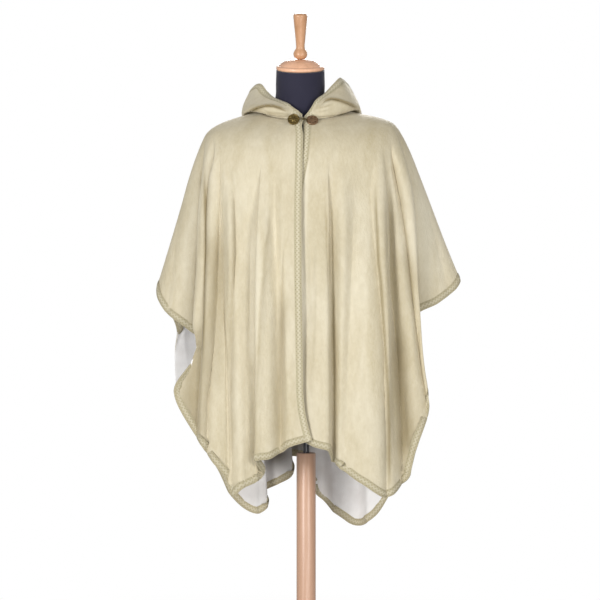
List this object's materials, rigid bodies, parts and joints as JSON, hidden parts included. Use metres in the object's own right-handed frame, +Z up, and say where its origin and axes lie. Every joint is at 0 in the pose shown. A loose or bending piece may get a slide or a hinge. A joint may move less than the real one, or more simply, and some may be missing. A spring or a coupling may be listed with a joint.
{
  "type": "hooded poncho on a dress form stand",
  "caption": "Open-front hooded fleece poncho with braid-bound edges and a round clasp, hung on a limbless dress form on a turned wooden stand.",
  "frame": {"origin": "on the floor, on the pole's axis", "axes": "+Z up, -Y to the front of the garment, +X to the viewer's right seen from the front"},
  "size_m": [0.7478, 0.4262, 1.6509],
  "materials": {
    "fleece": "short even nap, soft sheen",
    "lining": "fleecy cream inner face",
    "braid": "plaited woven tape",
    "brass": "antique, worn",
    "cover": "taut dark jersey",
    "beech": "clear satin lacquer",
    "steel": "dark"
  },
  "bodies": {
    "stand": {"stand_base": "beech", "stand_pole": "beech"},
    "rod": {"stand_rod": "steel"},
    "form": {"form_bust": "cover", "form_cap": "beech", "form_finial": "beech", "front_left": "fleece", "front_right": "fleece", "back": "fleece", "hood": "fleece", "binding_front_left": "braid", "binding_front_right": "braid", "binding_hem_left": "braid", "binding_hem_back": "braid", "binding_hem_right": "braid", "binding_hood": "braid", "clasp_left": "brass", "clasp_right": "brass", "clasp_hook": "brass"}
  },
  "joints": [
    {"name": "height", "type": "slide", "parent": "stand", "child": "rod", "axis": [0, 0, 1], "range_m": [-0.12, 0.15]},
    {"name": "swivel", "type": "hinge", "parent": "rod", "child": "form", "pos_m": [0, 0, 0.755], "axis": [0, 0, 1], "continuous": true}
  ]
}
